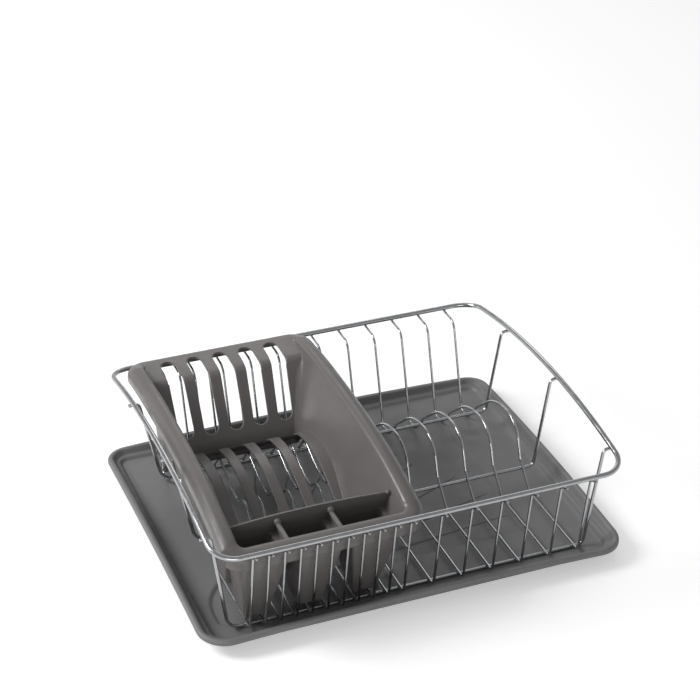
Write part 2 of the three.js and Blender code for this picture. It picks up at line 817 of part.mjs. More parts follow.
const rack = new THREE.Group()
rack.add(piece('drip_tray', dripTray(), trayPlastic))

const basket = new THREE.Group()
basket.position.z = BASKET_REST_Z
basket.add(piece('rim_wire', rimWire(), chrome))
basket.add(piece('runner_front', runner(-165, -3.7, -216, 214, 232.5), chrome))
basket.add(piece('runner_middle', runner(-29.4, 20, -208.5, 216.5, 233), chrome))
basket.add(piece('runner_back', runner(101.9, 21.3, -208, 215, 232), chrome))

for (let i = 0; i < SAUCER_WIRES; i += 1) {
  const mesh = piece(`saucer_wire_${String(i + 1).padStart(2, '0')}`, crossWire(saucerBends), chrome)
  mesh.position.x = WIRE_FIRST_X + i * WIRE_PITCH
  basket.add(mesh)
}
for (let i = 0; i < PLATE_HOOPS; i += 1) {
  const mesh = piece(`plate_hoop_${String(i + 1).padStart(2, '0')}`, crossWire(hoopBends), chrome)
  mesh.position.x = WIRE_FIRST_X + (SAUCER_WIRES + 2 * i) * WIRE_PITCH
  basket.add(mesh)
}

const caddy = new THREE.Group()
caddy.position.x = CADDY_REST_X
caddyPieces().forEach(([name, geometry]) => {
  caddy.add(piece(name, geometry, caddyPlastic))
})
basket.add(caddy)
rack.add(basket)

export default rack
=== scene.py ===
import math

import bmesh
import bpy
import numpy as np
from mathutils import Matrix, Vector


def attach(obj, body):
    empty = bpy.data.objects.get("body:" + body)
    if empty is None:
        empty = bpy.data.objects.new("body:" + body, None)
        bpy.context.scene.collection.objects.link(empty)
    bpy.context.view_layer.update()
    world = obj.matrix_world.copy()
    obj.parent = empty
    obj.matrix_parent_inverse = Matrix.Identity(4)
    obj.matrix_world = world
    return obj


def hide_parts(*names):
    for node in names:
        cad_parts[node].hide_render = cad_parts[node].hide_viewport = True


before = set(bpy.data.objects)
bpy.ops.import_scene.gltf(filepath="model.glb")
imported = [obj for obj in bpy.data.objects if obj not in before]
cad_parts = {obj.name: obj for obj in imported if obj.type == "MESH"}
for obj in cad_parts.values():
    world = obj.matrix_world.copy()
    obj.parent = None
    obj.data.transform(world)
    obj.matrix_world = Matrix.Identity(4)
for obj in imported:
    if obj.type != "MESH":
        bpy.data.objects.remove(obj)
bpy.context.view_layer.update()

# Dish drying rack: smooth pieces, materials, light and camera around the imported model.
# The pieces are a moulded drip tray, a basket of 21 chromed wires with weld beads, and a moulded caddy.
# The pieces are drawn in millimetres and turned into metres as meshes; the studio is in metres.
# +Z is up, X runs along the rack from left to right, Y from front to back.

MM = 0.001

# ---------- driving dimensions in millimetres ----------
# They are those of the part's source, apart from a few differences.

TRAY_LENGTH = 508
TRAY_DEPTH = 408
TRAY_RADIUS_FRONT = 34
TRAY_RADIUS_BACK = 26
TRAY_RIM_Z = 21
TRAY_RIM_RISE_LONG = 5.5
TRAY_RIM_RISE_SHORT = 6
LEDGE_Z = 15
FLOOR_Z = 8.6
FLOOR_SLOPE = 0.016
FLOOR_THICKNESS = 5.2
FLOOR_INSET = 23
PANEL_DEPTH = 2.7
PANEL_STEP_WIDTH = 3.4
GROOVE_DEPTH = 2.2
GROOVE_TIP_DEPTH = 0.8
GROOVE_TIP_HALF_WIDTH = 0.7
FOOT_RADIUS = 11
FOOT_PLACES = [(0, 0), (200, 140), (-200, 140), (200, -140), (-200, -140)]

# The basket is drawn from its floor wires up; they lie at BASKET_Z.
BASKET_Z = 12
RIM_LENGTH = 480
RIM_DEPTH = 412
RIM_Z = 117.7
RIM_ARCH = 24.7
RIM_CORNER = 28
RIM_RADIUS = 3
RUNNER_RADIUS = 2
WIRE_RADIUS = 1.5
WIRE_FIRST_X = -195.6
WIRE_PITCH = 18.04
SAUCER_WIRES = 10
PLATE_HOOPS = 7
WIRE_GAP = 0.2
UNDER_RIM_Z = RIM_Z - RIM_RADIUS - WIRE_RADIUS - WIRE_GAP
HOOK_END_X = 244.5
BUTT_WELD_X = -111
BUTT_WELD_DEPTH = 0.35
BUTT_WELD_WIDTH = 0.8

# The caddy is drawn around its own origin, at CADDY_X along the rack and BASKET_Z up.
CADDY_X = -105
CADDY_LEFT = -98
CADDY_RIGHT = 96
CADDY_BACK = 186
CADDY_FRONT = -168
CADDY_CORNER = 8
FLANGE = 20
SHELL = 2.4
LIP_DROP = 16
LIP_DROP_GROWTH = 0.019
WALL_OVERLAP = 0.06
RIGHT_WALL_FOOT = 75
LEG_FOOT_Z = 30
PLATE_FLOOR_Z = 57
SHELF_Z = 84.5
SHELF_FRONT = -185.5
SHELF_BACK = -128.4
CUTLERY_WALL_Y = -129
BESIDE_CUPS_Z = 83.3
BACK_WALL_FOOT = (104.5, 30)
BACK_WALL_TOP = (146.5, 115.5)
SLOT_FOOT_Z = 57
SLOT_END_Y = 180
SLOT_WIDTH = 18.8
SLOT_PITCH = 32.6
SLOT_FOOT_PITCH = 31.2
SLOT_SHIFT = -2.4
RIB_WIDTH = 12
RIB_PITCH = 31.6
LAST_OPENING_EXTRA = 4
BACK_RIM_Z = 126
FRONT_RIM_Z = 102.5
CUP_BOTTOM_Z = 4
CUP_CORNER = 4
DIVIDER_PLACES = (-41.5, 20.3)
DIVIDER_TOP_Z = 96
SKIRT_TOP_Z = 95.4

# ---------- looks ----------

TRAY_COLOUR = (0.165, 0.165, 0.168)
TRAY_ROUGHNESS = 0.52
TRAY_EDGE_RADIUS = 0.8
CADDY_COLOUR = (0.135, 0.125, 0.121)
CADDY_ROUGHNESS = 0.34
CADDY_EDGE_RADIUS = 1.5
PLASTIC_MOTTLING = 0.05
CHROME_COLOUR = (0.42, 0.43, 0.44)
CHROME_ROUGHNESS = (0.15, 0.25)
FLOOR_COLOUR = (0.8, 0.8, 0.8)
FLOOR_GLOW = 0.38
WORLD_STRENGTH = 0.4

# ---------- materials ----------


def add_node(tree, kind, place, **settings):
    """A shader node; settings name its properties and, where there is no such property, its inputs."""
    node = tree.nodes.new(kind)
    node.location = place
    for name, value in settings.items():
        if hasattr(node, name):
            setattr(node, name, value)
        else:
            node.inputs[name.replace("_", " ")].default_value = value
    return node


def new_material(name):
    """A material with its node tree and its shader."""
    material = bpy.data.materials.new(name)
    material.use_nodes = True
    tree = material.node_tree
    return material, tree, tree.nodes["Principled BSDF"]


def place_on_object(tree):
    """A socket that gives each point's place on its own object."""
    return add_node(tree, "ShaderNodeTexCoord", (-1200, 0)).outputs["Object"]


def ramp_between(tree, source, place, low, high, start=0.35, end=0.65):
    """Turns a noise value into a colour or a grey between low and high."""
    ramp = add_node(tree, "ShaderNodeValToRGB", place)
    ramp.color_ramp.elements[0].position = start
    ramp.color_ramp.elements[0].color = low
    ramp.color_ramp.elements[1].position = end
    ramp.color_ramp.elements[1].color = high
    tree.links.new(source, ramp.inputs["Fac"])
    return ramp.outputs["Color"]


def shade(colour, factor):
    """A colour made darker or lighter, with full opacity."""
    return tuple(channel * factor for channel in colour) + (1,)


def grey(level):
    """A grey as a colour, for sockets that read a colour as a value."""
    return (level, level, level, 1)


def moulded_plastic(name, colour, roughness, mottling, edge_radius):
    """Grey injection-moulded plastic: fine spark-eroded grain, faint flow marks and softened edges."""
    material, tree, shader = new_material(name)
    place = place_on_object(tree)
    flow = add_node(tree, "ShaderNodeTexNoise", (-900, 250), Scale=9, Detail=3, Roughness=0.55)
    scuff = add_node(tree, "ShaderNodeTexNoise", (-900, 0), Scale=60, Detail=6, Roughness=0.7)
    grain = add_node(tree, "ShaderNodeTexVoronoi", (-900, -300), Scale=1400)
    for node in (flow, scuff, grain):
        tree.links.new(place, node.inputs["Vector"])
    dark = shade(colour, 1 - mottling)
    light = shade(colour, 1 + mottling)
    tint = ramp_between(tree, flow.outputs["Fac"], (-600, 250), dark, light)
    tree.links.new(tint, shader.inputs["Base Color"])
    smooth = grey(roughness - 0.06)
    rough = grey(roughness + 0.08)
    gloss = ramp_between(tree, scuff.outputs["Fac"], (-600, 0), smooth, rough)
    tree.links.new(gloss, shader.inputs["Roughness"])
    soft = add_node(tree, "ShaderNodeBevel", (-600, -480), samples=6, Radius=edge_radius * MM)
    bump = add_node(tree, "ShaderNodeBump", (-300, -300), Strength=0.12, Distance=0.0001)
    tree.links.new(grain.outputs["Distance"], bump.inputs["Height"])
    tree.links.new(soft.outputs["Normal"], bump.inputs["Normal"])
    tree.links.new(bump.outputs["Normal"], shader.inputs["Normal"])
    return material


def chrome_plate(name, colour, roughness):
    """Bright plated steel wire, a little uneven in its colour, its polish and its surface."""
    material, tree, shader = new_material(name)
    place = place_on_object(tree)
    cloud = add_node(tree, "ShaderNodeTexNoise", (-900, 200), Scale=120, Detail=4, Roughness=0.6)
    pits = add_node(tree, "ShaderNodeTexNoise", (-900, -200), Scale=1500, Detail=2, Roughness=0.5)
    for node in (cloud, pits):
        tree.links.new(place, node.inputs["Vector"])
    dark = shade(colour, 0.93)
    light = shade(colour, 1.05)
    tint = ramp_between(tree, cloud.outputs["Fac"], (-600, 200), dark, light)
    tree.links.new(tint, shader.inputs["Base Color"])
    smooth, rough = [grey(level) for level in roughness]
    gloss = ramp_between(tree, cloud.outputs["Fac"], (-600, -50), smooth, rough)
    tree.links.new(gloss, shader.inputs["Roughness"])
    bump = add_node(tree, "ShaderNodeBump", (-300, -200), Strength=0.06, Distance=0.00005)
    tree.links.new(pits.outputs["Fac"], bump.inputs["Height"])
    tree.links.new(bump.outputs["Normal"], shader.inputs["Normal"])
    shader.inputs["Metallic"].default_value = 1
    return material


TRAY_PLASTIC = moulded_plastic(
    "tray_plastic", TRAY_COLOUR, TRAY_ROUGHNESS, PLASTIC_MOTTLING, TRAY_EDGE_RADIUS
)
CADDY_PLASTIC = moulded_plastic(
    "caddy_plastic", CADDY_COLOUR, CADDY_ROUGHNESS, PLASTIC_MOTTLING, CADDY_EDGE_RADIUS
)
CHROME = chrome_plate("chrome_wire", CHROME_COLOUR, CHROME_ROUGHNESS)

# ---------- mesh tools ----------


def arc(cx, cy, radius, start, end, steps):
    """Points on a circle between two angles in degrees."""
    angles = [math.radians(start + (end - start) * i / steps) for i in range(steps + 1)]
    return [(cx + radius * math.cos(a), cy + radius * math.sin(a)) for a in angles]


def skin(rings, loop=False):
    """Vertices and faces over rings of equal point count; an open row gets a cap at each end."""
    count = len(rings[0])
    vertices = [tuple(point) for ring in rings for point in ring]
    faces = []
    for r in range(len(rings) if loop else len(rings) - 1):
        here = r * count
        there = (r + 1) % len(rings) * count
        for i in range(count):
            j = (i + 1) % count
            faces.append((here + i, here + j, there + j, there + i))
    if not loop:
        faces.append(tuple(range(count - 1, -1, -1)))
        faces.append(tuple(range(len(vertices) - count, len(vertices))))
    return vertices, faces


def joined(shapes):
    """Several (vertices, faces) shapes as one."""
    vertices, faces = [], []
    for points, polygons in shapes:
        start = len(vertices)
        vertices.extend(points)
        faces.extend(tuple(start + i for i in polygon) for polygon in polygons)
    return vertices, faces


def mesh_object(name, shape):
    """An object in metres, with its faces turned outward."""
    vertices, faces = shape
    mesh = bpy.data.meshes.new(name)
    mesh.from_pydata([[c * MM for c in v] for v in vertices], [], faces)
    work = bmesh.new()
    work.from_mesh(mesh)
    bmesh.ops.recalc_face_normals(work, faces=work.faces)
    work.to_mesh(mesh)
    work.free()
    made = bpy.data.objects.new(name, mesh)
    bpy.context.scene.collection.objects.link(made)
    return made


def combine(target, shapes, operation):
    """Joins solids to the target or cuts them from it."""
    for shape in shapes:
        tool = mesh_object("tool", shape)
        modifier = target.modifiers.new("combine", "BOOLEAN")
        modifier.object = tool
        modifier.operation = operation
        modifier.solver = "MANIFOLD"
        bpy.context.view_layer.update()
        evaluated = target.evaluated_get(bpy.context.evaluated_depsgraph_get())
        result = bpy.data.meshes.new_from_object(evaluated)
        target.modifiers.clear()
        old = target.data
        target.data = result
        bpy.data.meshes.remove(old)
        bpy.data.objects.remove(tool)


def finish_piece(made, body, material, nodes, smooth_angle=40):
    """Gives a piece its shading, material and body, and hides the CAD nodes it stands for."""
    made.data.shade_smooth()
    made.data.set_sharp_from_angle(angle=math.radians(smooth_angle))
    made.data.materials.clear()
    made.data.materials.append(material)
    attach(made, body)
    if nodes:
        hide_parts(*nodes)


def catmull_rom(a, b, c, d, t):
    """The curve's value at t between b and c, whose neighbours are a and d."""
    square = (2 * a - 5 * b + 4 * c - d) * t * t
    cube = (3 * b - a - 3 * c + d) * t**3
    return 0.5 * (2 * b + (c - a) * t + square + cube)


def spline(points, steps):
    """A Catmull-Rom curve through the points, with several steps between each two."""
    ends = [points[0], *points, points[-1]]
    made = []
    for i in range(1, len(ends) - 2):
        near = list(zip(*ends[i - 1 : i + 3]))
        for k in range(steps):
            made.append(tuple(catmull_rom(*values, k / steps) for values in near))
    return made + [tuple(points[-1])]


def lookup(table, position):
    """Straight-line lookup in (position, value) rows, sorted by falling position."""
    if position >= table[0][0]:
        return table[0][1]
    for (p0, v0), (p1, v1) in zip(table, table[1:]):
        if position >= p1:
            return v1 + (v0 - v1) * (position - p1) / (p0 - p1)
    return table[-1][1]


# ---------- wires ----------

# Rows at a cropped wire end: distance from the end and share of the wire's radius.
CROPPED_END = ((0, 0.7), (0.3, 0.93), (0.9, 1))

# Rows of a bead from bottom to top: height and width as shares of its half-widths.
BEAD_ROWS = ((-0.98, 0.2), (-0.8, 0.6), (-0.4, 0.92), (0, 1), (0.4, 0.92), (0.8, 0.6), (0.98, 0.2))


def bent_path(corners, step_degrees=7):
    """Points of a wire with straight runs and round bends, from (corner, bend radius) rows."""
    path = [corners[0][0]]
    for i in range(1, len(corners) - 1):
        corner, radius = corners[i]
        into = (corner - corners[i - 1][0]).normalized()
        out = (corners[i + 1][0] - corner).normalized()
        angle = into.angle(out)
        start = corner - into * radius * math.tan(angle / 2)
        inward = (out - into * out.dot(into)).normalized()
        steps = max(2, round(math.degrees(angle) / step_degrees))
        for k in range(steps + 1):
            a = angle * k / steps
            path.append(start + into * radius * math.sin(a) + inward * radius * (1 - math.cos(a)))
    path.append(corners[-1][0])
    return path


def tube(path, radii, side, sides=14, loop=False):
    """A round wire along a path; side is a direction that stays across the wire."""
    rings = []
    for i, point in enumerate(path):
        before = path[i - 1] if loop or i > 0 else point
        after = path[(i + 1) % len(path)] if loop or i < len(path) - 1 else point
        heading = (after - before).normalized()
        u = (side - heading * side.dot(heading)).normalized()
        v = heading.cross(u)
        ring = []
        for k in range(sides):
            angle = 2 * math.pi * k / sides
            ring.append(point + (u * math.cos(angle) + v * math.sin(angle)) * radii[i])
        rings.append(ring)
    return skin(rings, loop)


def cut_wire(corners, radius, side):
    """A bent wire whose two cropped ends are slightly rounded."""
    path = bent_path(corners)
    for at, towards in ((0, 1), (-1, -2)):
        end = path[at]
        inward = (path[towards] - end).normalized()
        extra = [end + inward * distance for distance, _ in CROPPED_END]
        path = extra + path[1:] if at == 0 else path[:-1] + extra[::-1]
    radii = [radius] * len(path)
    for k, (_, share) in enumerate(CROPPED_END):
        radii[k] = radii[-1 - k] = radius * share
    return tube(path, radii, side)


def rim_height(y):
    """Height of the rim wire's axis over the floor wires, at the ends of the basket."""
    return RIM_Z + RIM_ARCH * (1 - (2 * y / RIM_DEPTH) ** 2)


def rim_wire():
    """One wire welded into a rounded rectangle whose ends arch up, with a mark at the butt weld."""
    half_x = RIM_LENGTH / 2
    straight_x = half_x - RIM_CORNER
    straight_y = RIM_DEPTH / 2 - RIM_CORNER
    plan = []
    for sx, sy, start in ((1, 1, 0), (-1, 1, 90), (-1, -1, 180), (1, -1, 270)):
        plan += arc(sx * straight_x, sy * straight_y, RIM_CORNER, start, start + 90, 16)
        if sx * sy < 0:
            plan += [(sx * half_x, sy * straight_y * (1 - i / 16)) for i in range(1, 32)]
        if sx < 0 and sy < 0:
            weld_steps = (-2.2, -1.4, -0.7, 0, 0.7, 1.4, 2.2)
            plan += [(BUTT_WELD_X + dx, -RIM_DEPTH / 2) for dx in weld_steps]
    path = []
    radii = []
    for x, y in plan:
        on_long_side = abs(x) < straight_x + 0.01
        path.append(Vector((x, y, RIM_Z if on_long_side else rim_height(y))))
        dip = 0
        if on_long_side and y < 0:
            dip = BUTT_WELD_DEPTH * math.exp(-(((x - BUTT_WELD_X) / BUTT_WELD_WIDTH) ** 2))
        radii.append(RIM_RADIUS - dip)
    return tube(path, radii, Vector((0, 0, 1)), sides=20, loop=True)


# Corners of the cross wires as (y, z, bend radius), from the back rim to the front rim.
BACK_WALL_BENDS = [(208.5, UNDER_RIM_Z, 0), (176, UNDER_RIM_Z, 15), (143.5, 2.3, 10), (125, 0.2, 9)]
FRONT_WALL_BENDS = [(-54.6, 0, 14), (-178, 0, 6), (-195, 107, 6), (-208.5, UNDER_RIM_Z - 0.3, 0)]
SAUCER_BENDS = [
    *BACK_WALL_BENDS,
    (86.5, 45.6, 13),
    (44, 29.6, 110),
    (17.5, 25, 17),
    (2.5, 39.9, 14),
    (-14.3, 40.3, 16),
    *FRONT_WALL_BENDS,
]
HOOP_BENDS = [
    *BACK_WALL_BENDS,
    (100, 29.7, 40),
    (49, 73.3, 80),
    (-9, 74.3, 35),
    (-25, 29.6, 8),
    *FRONT_WALL_BENDS,
]

# Runners along the basket: y, z, x of the left and right foot, x of the corner of the hooks.
RUNNERS = {
    "runner_front": (-165, -3.7, -216, 214, 232.5),
    "runner_middle": (-29.4, 20, -208.5, 216.5, 233),
    "runner_back": (101.9, 21.3, -208, 215, 232),
}


def cross_wire(x, bends):
    """A wire across the basket, in the upright plane at x."""
    corners = [(Vector((x, y, z)), radius) for y, z, radius in bends]
    return cut_wire(corners, WIRE_RADIUS, Vector((1, 0, 0)))


def runner(y, z, left_foot, right_foot, hook_corner):
    """A carrying wire along the basket, hooked under the rim at both ends."""
    hook_z = rim_height(y) - RIM_RADIUS - RUNNER_RADIUS - WIRE_GAP
    rows = [
        (-HOOK_END_X, hook_z, 0),
        (-hook_corner, hook_z, 6),
        (left_foot, z, 16),
        (right_foot, z, 8),
        (hook_corner, hook_z, 6),
        (HOOK_END_X, hook_z, 0),
    ]
    corners = [(Vector((x, y, height)), radius) for x, height, radius in rows]
    return cut_wire(corners, RUNNER_RADIUS, Vector((0, 1, 0)))


def bead(centre, size):
    """A small smooth lump at a centre; size is its three half-widths."""
    x, y, z = centre
    half_x, half_y, half_z = size
    rings = []
    for height, width in BEAD_ROWS:
        circle = arc(0, 0, 1, 0, 324, 9)
        level = z + half_z * height
        rings.append([(x + half_x * u * width, y + half_y * v * width, level) for u, v in circle])
    return skin(rings)


def lifted(shape, dz):
    """A shape moved up."""
    vertices, faces = shape
    return [(x, y, z + dz) for x, y, z in vertices], faces


def chrome_piece(name, shape, nodes):
    """A chromed piece of the basket, drawn over the floor wires and lifted to its rest height."""
    made = mesh_object(name, lifted(shape, BASKET_Z))
    finish_piece(made, "basket", CHROME, nodes)


# ---------- drip tray ----------

# The recessed panel, from its back right corner round the outlet to its front right corner.
OUTLET_LEFT = [
    (-167, -21),
    (-168, -48),
    (-175, -64),
    (-193, -76),
    (-212, -97),
    (-221, -119),
    (-222, -150),
]
OUTLET_RIGHT = [(-205, -163), (-165, -168), (-138, -151), (-122, -132), (-98, -116)]
PANEL_OUTLINE = [
    *arc(158, 126, 10, 0, 90, 8),
    *arc(-154, 118, 16, 90, 170, 8),
    *spline(OUTLET_LEFT, 5),
    *spline(OUTLET_RIGHT, 5),
    *arc(158, -103, 10, 270, 360, 8),
]

# Each groove is x and y of its wide end, x and y of its narrow end, and half the width at its wide end.
GROOVES = [
    (-152, -55, -130, 124, 1.6),
    (-124, 6, -85, 123, 1.8),
    (-119, -35, -52, 94, 2.3),
    (-82, -10, 11, 111, 2.3),
    (-126, -85, 34, 62, 3.3),
    (-47, -39, 99, 61, 2.5),
    (-75, -73, 135, 16, 2.8),
    (-27, -76, 158, -29, 2.3),
    (-96, -105, 161, -78, 3.5),
]

# Section of a groove as shares of its half width and depth, and rows along it as (place, share).
GROOVE_SECTION = [
    (-1, 3),
    (-1, 0),
    (-0.93, -0.6),
    (-0.6, -1),
    (0.6, -1),
    (0.93, -0.6),
    (1, 0),
    (1, 3),
]
GROOVE_ROWS = [
    (-0.016, 0.4),
    (-0.01, 0.75),
    (0, 1),
    (0.25, 1),
    (0.5, 1),
    (0.75, 1),
    (0.98, 0.9),
    (1, 0.4),
]

# Rows of the tray's upper side, from the outer edge inwards: inset, base and height above that base.
TRAY_TOP = [
    (0, "rim", -5.8),
    (0, "rim", -3),
    (1, "rim", -0.9),
    (3, "rim", 0),
    (5.5, "rim", -0.3),
    (7, "rim", -1.8),
    (9, "ledge", 1.5),
    (10.5, "ledge", 0.4),
    (13.5, "ledge", 0),
    (15.3, "ledge", -1.2),
    (17.5, "floor", 1.4),
    (20, "floor", 0.3),
    (FLOOR_INSET, "floor", 0),
]

# The same for its lower side, from the floor out to the edge.
TRAY_UNDERSIDE = [
    (FLOOR_INSET, "floor", -FLOOR_THICKNESS),
    (18.5, "floor", -2.4),
    (15, "floor", 0.2),
    (12, "ledge", -2.7),
    (8.8, "ledge", -2.2),
    (6.4, "ledge", 0.2),
    (4.6, "rim", -3.2),
    (3.4, "rim", -2.5),
    (2.4, "rim", -3.6),
    (2.4, "rim", -5.8),
]
RIM_ROW_STEPS = 4
UNDERSIDE_ROW_STEPS = 2
FLOOR_ROWS = 110


def floor_z(y):
    """Height of the tray's floor, which falls towards the front."""
    return FLOOR_Z + FLOOR_SLOPE * y


def tray_rim_z(x, y):
    """Height of the tray's rim, which rises towards the middle of each side."""
    along = max(0, 1 - (2 * x / TRAY_LENGTH) ** 2)
    across = max(0, 1 - (2 * y / TRAY_DEPTH) ** 2)
    return TRAY_RIM_Z + TRAY_RIM_RISE_LONG * along + TRAY_RIM_RISE_SHORT * across


def tray_outline(inset, corner_steps=18, spacing=2.2):
    """Plan outline of the tray, drawn in by an inset, always with the same number of points."""
    half_x = TRAY_LENGTH / 2
    half_y = TRAY_DEPTH / 2
    long_steps = round(math.hypot(half_x, half_y) * 1.25 / spacing)
    short_steps = round(math.hypot(half_x, half_y) * 0.95 / spacing)
    corners = []
    for sx, sy, start in ((1, 1, 0), (-1, 1, 90), (-1, -1, 180), (1, -1, 270)):
        radius = TRAY_RADIUS_BACK if sy > 0 else TRAY_RADIUS_FRONT
        centre = (sx * (half_x - radius), sy * (half_y - radius))
        corners.append(arc(*centre, radius - inset, start, start + 90, corner_steps))
    points = []
    for i, corner in enumerate(corners):
        points += corner
        (x0, y0), (x1, y1) = corner[-1], corners[(i + 1) % 4][0]
        steps = long_steps if i % 2 == 0 else short_steps
        for k in range(1, steps):
            points.append((x0 + (x1 - x0) * k / steps, y0 + (y1 - y0) * k / steps))
    return points


def edge_distance(polygon, x, y):
    """Distance of each point to a polygon's edge, positive inside."""
    nearest = np.full(x.shape, 1e9)
    inside = np.zeros(x.shape, bool)
    for (x0, y0), (x1, y1) in zip(polygon, polygon[1:] + polygon[:1]):
        dx, dy = x1 - x0, y1 - y0
        if dx == 0 and dy == 0:
            continue
        t = np.clip(((x - x0) * dx + (y - y0) * dy) / (dx * dx + dy * dy), 0, 1)
        nearest = np.minimum(nearest, np.hypot(x - x0 - t * dx, y - y0 - t * dy))
        if dy != 0:
            crosses = (y0 > y) != (y1 > y)
            inside ^= crosses & (x < x0 + (y - y0) * dx / dy)
    return np.where(inside, nearest, -nearest)


def drip_tray():
    """The moulded tray: rolled rim, ledge, sloping floor and a recessed panel with a soft step."""
    outer = tray_outline(0)

    def height(base, offset, i, y):
        if base == "rim":
            return tray_rim_z(*outer[i]) + offset
        if base == "ledge":
            return LEDGE_Z + offset
        # At the back, where the floor is highest, its edge stays below the ledge.
        return min(floor_z(y) + offset, LEDGE_Z - 3.6)

    def ring(inset, base, offset):
        outline = tray_outline(inset)
        return [(x, y, height(base, offset, i, y)) for i, (x, y) in enumerate(outline)]

    def kept_inside(x, y, z):
        half_x = TRAY_LENGTH / 2
        half_y = TRAY_DEPTH / 2
        return (min(max(x, -half_x), half_x), min(max(y, -half_y), half_y), z)

    def refined(rows, steps):
        columns = []
        for column in zip(*[ring(*row) for row in rows]):
            columns.append([kept_inside(*point) for point in spline(column, steps)])
        return [list(row) for row in zip(*columns)]

    underside = refined(TRAY_UNDERSIDE, UNDERSIDE_ROW_STEPS)
    rim = refined(TRAY_TOP, RIM_ROW_STEPS)
    inner = np.array(rim[-1])
    floor = []
    for k in range(1, FLOOR_ROWS):
        share = 1 - k / FLOOR_ROWS
        x = inner[:, 0] * share
        y = inner[:, 1] * share
        step = np.clip(edge_distance(PANEL_OUTLINE, x, y) / PANEL_STEP_WIDTH + 0.5, 0, 1)
        z = floor_z(y) - PANEL_DEPTH * step * step * (3 - 2 * step)
        floor.append(list(zip(x.tolist(), y.tolist(), z.tolist())))
    return skin([*underside, *rim, *floor])


def groove_cutter(x0, y0, x1, y1, half_width):
    """A steep-sided tapered wedge that presses one groove into the panel, deepest at its wide end."""
    length = math.hypot(x1 - x0, y1 - y0)
    along = Vector((x1 - x0, y1 - y0)) / length
    across = Vector((-along.y, along.x))
    rings = []
    for t, share in GROOVE_ROWS:
        centre = Vector((x0, y0)) + along * t * length
        taper = 1 - min(max(t, 0), 1)
        width = share * (GROOVE_TIP_HALF_WIDTH + (half_width - GROOVE_TIP_HALF_WIDTH) * taper)
        depth = share * (GROOVE_TIP_DEPTH + (GROOVE_DEPTH - GROOVE_TIP_DEPTH) * taper)
        surface = floor_z(centre.y) - PANEL_DEPTH
        ring = []
        for u, v in GROOVE_SECTION:
            x = centre.x + across.x * width * u
            y = centre.y + across.y * width * u
            ring.append((x, y, surface + depth * v))
        rings.append(ring)
    return skin(rings)


def tray_foot(x, y):
    """A round foot pad that reaches into the underside of the floor."""
    top = floor_z(y) - FLOOR_THICKNESS + 1
    rings = []
    for z, wider in ((0, -0.8), (0.2, -0.3), (0.8, 0), (top, 1)):
        circle = arc(x, y, FOOT_RADIUS + wider, 0, 352.5, 47)
        rings.append([(*point, z) for point in circle])
    return skin(rings)


def build_tray():
    """The drip tray with its grooves and feet."""
    tray = mesh_object("moulded_drip_tray", drip_tray())
    combine(tray, [groove_cutter(*row) for row in GROOVES], "DIFFERENCE")
    combine(tray, [tray_foot(x, y) for x, y in FOOT_PLACES], "UNION")
    finish_piece(tray, "tray", TRAY_PLASTIC, ["drip_tray"], smooth_angle=35)


# ---------- caddy ----------

# (y, z) along the crest of the rim at both sides, from back to front.
SIDE_RIM = [
    (178, 131),
    (150, 133.6),
    (120, 135.4),
    (90, 136),
    (60, 135.9),
    (30, 135.2),
    (0, 134),
    (-30, 132),
    (-60, 129.3),
    (-90, 125.5),
    (-120, 119.5),
    (-145, 113.5),
    (-160, 109.5),
    (-168, 103),
]
SMOOTH_SIDE_RIM = spline(SIDE_RIM, 5)

# (y, z) along the top of the plate floor, from back to front.
PLATE_FLOOR = [
    (109, 35.5),
    (98, 48),
    (85, 57.5),
    (70, 62),
    (52, 65),
    (40, 65.5),
    (20, 64),
    (3, 60.5),
    (-22, 51),
    (-53, 38),
    (-84, 33.4),
    (-129, 34),
]
SMOOTH_PLATE_FLOOR = spline(PLATE_FLOOR, 5)


def right_wall_x(y, z):
    """Inner face of the right wall, which leans outward from its foot to the rim."""
    rise = (z - PLATE_FLOOR_Z) / (lookup(SMOOTH_SIDE_RIM, y) - PLATE_FLOOR_Z)
    return RIGHT_WALL_FOOT + (CADDY_RIGHT + WALL_OVERLAP - RIGHT_WALL_FOOT) * rise


def left_wall_x(y, z):
    """Inner face of the left wall, which is upright at every y and z."""
    return CADDY_LEFT - WALL_OVERLAP


def rim_section(nx, ny, z, drop):
    """Section of the rolled rim as (distance outward, height over the crest).

    nx and ny are the outward direction, z the height of the crest and drop how far the lip hangs.
    """
    k = min(1, drop / 14)
    outer = spline(
        [
            (3.4, 0.25),
            (5.5, 0.5),
            (10, -0.3 * k),
            (14.5, -2.6 * k),
            (18, -6 * k),
            (FLANGE - 0.4, -9 * k),
            (FLANGE, -drop + 0.7),
        ],
        3,
    )
    lip = [(FLANGE - 0.35, -drop + 0.1), (FLANGE - 1.2, -drop), (FLANGE - SHELL + 0.35, -drop + 0.1)]
    hollow = spline(
        [
            (FLANGE - SHELL, -drop + 0.6),
            (FLANGE - SHELL - 0.5, max(-9.5 * k, -drop + 1.2)),
            (13.4, -4.8 * k - 0.8),
            (8.5, -2.2 - 0.4 * k),
            (5.2, -2.6),
            (3.2, -4.2),
            (SHELL, -6.4),
            (0, -6.4),
        ],
        2,
    )
    # The bend runs into the wall below it, which leans on the right; at the back it stays shallow.
    behind = max(0, ny) ** 2
    lean = max(0, nx) ** 2 * (CADDY_RIGHT - RIGHT_WALL_FOOT) / (z - PLATE_FLOOR_Z)
    bend = [(0, -4 + 2 * behind), (0.22, -2.4 + 0.5 * behind), (0.85, -1.1)]
    bend = [(out + lean * up, up) for out, up in bend]
    hollow = [(out + lean * min(0, up + SHELL), max(up, 3.8 * behind - 6.4)) for out, up in hollow]
    return [*bend, (1.9, -0.25), *outer, *lip, *hollow]


